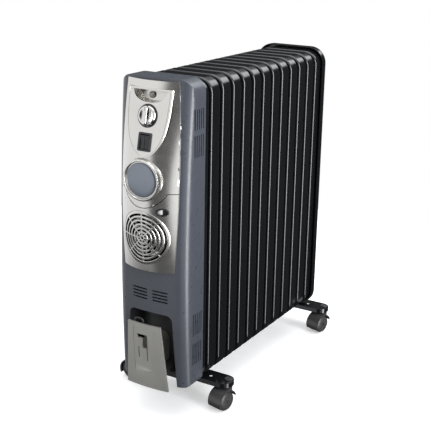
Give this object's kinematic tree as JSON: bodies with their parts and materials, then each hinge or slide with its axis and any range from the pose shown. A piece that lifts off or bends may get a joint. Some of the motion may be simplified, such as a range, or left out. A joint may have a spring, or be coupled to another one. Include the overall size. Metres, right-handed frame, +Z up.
{
  "type": "oil filled radiator heater",
  "caption": "Portable oil filled column radiator with a bowed control housing, fan outlet, thermostat, rocker switches, cord store and swivelling twin-wheel castors.",
  "frame": {"origin": "centre of the footprint of the whole part on the floor, under its bounding box", "axes": "+Z up, -Y towards the control panel, +X to the right of a person looking at the panel; the fins run along Y"},
  "size_m": [0.2602, 0.5775, 0.633],
  "materials": {
    "radiator_enamel": "gloss black enamel",
    "housing_plastic": "satin slate",
    "panel_finish": "champagne silver paint",
    "badge_finish": "gloss slate blue",
    "knob_chrome": "polished",
    "dark_plastic": "satin dark grey",
    "castor_plastic": "satin charcoal",
    "zinc_steel": "zinc plated",
    "lamp_lens": "clear amber lens, unlit",
    "terminal_plastic": "natural moulding"
  },
  "bodies": {
    "radiator": {"fin_01": "radiator_enamel", "fin_02": "radiator_enamel", "fin_03": "radiator_enamel", "fin_04": "radiator_enamel", "fin_05": "radiator_enamel", "fin_06": "radiator_enamel", "fin_07": "radiator_enamel", "fin_08": "radiator_enamel", "fin_09": "radiator_enamel", "fin_10": "radiator_enamel", "fin_11": "radiator_enamel", "fin_12": "radiator_enamel", "fin_13": "radiator_enamel", "rear_cover": "radiator_enamel", "heating_element": "zinc_steel", "filler_plug": "zinc_steel", "control_housing": "housing_plastic", "upper_panel": "panel_finish", "lower_panel": "panel_finish", "fan_grille": "panel_finish", "fan_motor": "dark_plastic", "fan_heater": "zinc_steel", "badge_drum": "panel_finish", "badge_disc": "badge_finish", "control_inset": "panel_finish", "pilot_lamp": "lamp_lens", "knob_ring": "dark_plastic", "thermostat": "zinc_steel", "switch_frame": "dark_plastic", "fan_switch_bezel": "dark_plastic", "cord_plate": "panel_finish", "cord_hook": "dark_plastic", "cord_gland": "dark_plastic", "terminal_block": "terminal_plastic", "tip_over_switch": "dark_plastic", "front_foot_bar": "radiator_enamel", "rear_foot_bar": "radiator_enamel", "front_clamp": "zinc_steel", "rear_clamp": "zinc_steel"},
    "thermostat_knob": {"thermostat_knob": "knob_chrome"},
    "rocker_left": {"rocker_left": "dark_plastic"},
    "rocker_right": {"rocker_right": "dark_plastic"},
    "fan_rocker": {"fan_switch_rocker": "knob_chrome"},
    "impeller": {"fan_impeller": "dark_plastic"},
    "front_left_castor": {"front_left_castor_hood": "castor_plastic", "front_left_castor_axle": "zinc_steel"},
    "front_left_castor_outer_wheel": {"front_left_castor_outer_wheel": "castor_plastic"},
    "front_left_castor_inner_wheel": {"front_left_castor_inner_wheel": "castor_plastic"},
    "front_right_castor": {"front_right_castor_hood": "castor_plastic", "front_right_castor_axle": "zinc_steel"},
    "front_right_castor_outer_wheel": {"front_right_castor_outer_wheel": "castor_plastic"},
    "front_right_castor_inner_wheel": {"front_right_castor_inner_wheel": "castor_plastic"},
    "rear_left_castor": {"rear_left_castor_hood": "castor_plastic", "rear_left_castor_axle": "zinc_steel"},
    "rear_left_castor_outer_wheel": {"rear_left_castor_outer_wheel": "castor_plastic"},
    "rear_left_castor_inner_wheel": {"rear_left_castor_inner_wheel": "castor_plastic"},
    "rear_right_castor": {"rear_right_castor_hood": "castor_plastic", "rear_right_castor_axle": "zinc_steel"},
    "rear_right_castor_outer_wheel": {"rear_right_castor_outer_wheel": "castor_plastic"},
    "rear_right_castor_inner_wheel": {"rear_right_castor_inner_wheel": "castor_plastic"}
  },
  "joints": [
    {"name": "thermostat_turn", "type": "hinge", "parent": "radiator", "child": "thermostat_knob", "pos_m": [0.01168, -0.2653, 0.568], "axis": [0, -0.9787, 0.2055], "range_deg": [0, 270]},
    {"name": "rocker_left_tilt", "type": "hinge", "parent": "radiator", "child": "rocker_left", "pos_m": [0.00693, -0.27052, 0.52368], "axis": [-1, 0, 0], "range_deg": [0, 14]},
    {"name": "rocker_right_tilt", "type": "hinge", "parent": "radiator", "child": "rocker_right", "pos_m": [0.01643, -0.27052, 0.52368], "axis": [-1, 0, 0], "range_deg": [0, 14]},
    {"name": "fan_rocker_tilt", "type": "hinge", "parent": "radiator", "child": "fan_rocker", "pos_m": [0.04768, -0.27373, 0.406], "axis": [0, 0, -1], "range_deg": [0, 12]},
    {"name": "impeller_spin", "type": "hinge", "parent": "radiator", "child": "impeller", "pos_m": [0.01168, -0.25424, 0.356], "axis": [0, 1, 0], "continuous": true},
    {"name": "front_left_swivel", "type": "hinge", "parent": "radiator", "child": "front_left_castor", "pos_m": [-0.09032, -0.14924, 0.043], "axis": [0, 0, 1], "continuous": true},
    {"name": "front_left_outer_wheel_roll", "type": "hinge", "parent": "front_left_castor", "child": "front_left_castor_outer_wheel", "pos_m": [-0.10732, -0.14924, 0.0195], "axis": [0, -1, 0], "continuous": true},
    {"name": "front_left_inner_wheel_roll", "type": "hinge", "parent": "front_left_castor", "child": "front_left_castor_inner_wheel", "pos_m": [-0.10732, -0.14924, 0.0195], "axis": [0, -1, 0], "continuous": true},
    {"name": "front_right_swivel", "type": "hinge", "parent": "radiator", "child": "front_right_castor", "pos_m": [0.11368, -0.14924, 0.043], "axis": [0, 0, 1], "continuous": true},
    {"name": "front_right_outer_wheel_roll", "type": "hinge", "parent": "front_right_castor", "child": "front_right_castor_outer_wheel", "pos_m": [0.11015, -0.16587, 0.0195], "axis": [0.9781, -0.2079, 0], "continuous": true},
    {"name": "front_right_inner_wheel_roll", "type": "hinge", "parent": "front_right_castor", "child": "front_right_castor_inner_wheel", "pos_m": [0.11015, -0.16587, 0.0195], "axis": [0.9781, -0.2079, 0], "continuous": true},
    {"name": "rear_left_swivel", "type": "hinge", "parent": "radiator", "child": "rear_left_castor", "pos_m": [-0.09032, 0.27476, 0.043], "axis": [0, 0, 1], "continuous": true},
    {"name": "rear_left_outer_wheel_roll", "type": "hinge", "parent": "rear_left_castor", "child": "rear_left_castor_outer_wheel", "pos_m": [-0.08314, 0.25935, 0.0195], "axis": [0.9063, 0.4226, 0], "continuous": true},
    {"name": "rear_left_inner_wheel_roll", "type": "hinge", "parent": "rear_left_castor", "child": "rear_left_castor_inner_wheel", "pos_m": [-0.08314, 0.25935, 0.0195], "axis": [0.9063, 0.4226, 0], "continuous": true},
    {"name": "rear_right_swivel", "type": "hinge", "parent": "radiator", "child": "rear_right_castor", "pos_m": [0.11368, 0.27476, 0.043], "axis": [0, 0, 1], "continuous": true},
    {"name": "rear_right_outer_wheel_roll", "type": "hinge", "parent": "rear_right_castor", "child": "rear_right_castor_outer_wheel", "pos_m": [0.10928, 0.25833, 0.0195], "axis": [0.9659, -0.2588, 0], "continuous": true},
    {"name": "rear_right_inner_wheel_roll", "type": "hinge", "parent": "rear_right_castor", "child": "rear_right_castor_inner_wheel", "pos_m": [0.10928, 0.25833, 0.0195], "axis": [0.9659, -0.2588, 0], "continuous": true}
  ]
}
